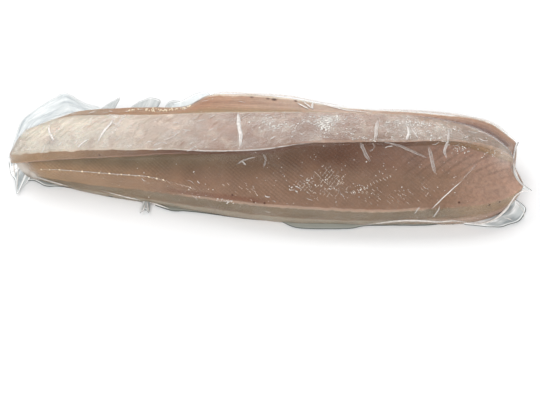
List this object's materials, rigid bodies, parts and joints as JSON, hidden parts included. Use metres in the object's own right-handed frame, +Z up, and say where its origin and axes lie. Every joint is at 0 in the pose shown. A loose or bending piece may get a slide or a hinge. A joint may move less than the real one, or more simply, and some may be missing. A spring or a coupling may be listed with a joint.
{
  "type": "tuna loin",
  "caption": "Raw tuna loin with a hollow cut face and a low belly flap, sealed tight in a clear bag with loose film margins.",
  "frame": {"origin": "on the surface that the pack lies on, in the middle of the bag's footprint", "axes": "+X along the loin from the thin tail end to the broad cut end, -Y towards the hollow cut face, +Z up"},
  "size_m": [0.498, 0.1589, 0.0752],
  "materials": {
    "tuna_flesh": "moist raw tuna, pink-brown, pale on the top face",
    "clear_film": "clear glossy vacuum film with creases and frost"
  },
  "bodies": {
    "root": {"vacuum_bag": "tuna_flesh"}
  },
  "joints": []
}
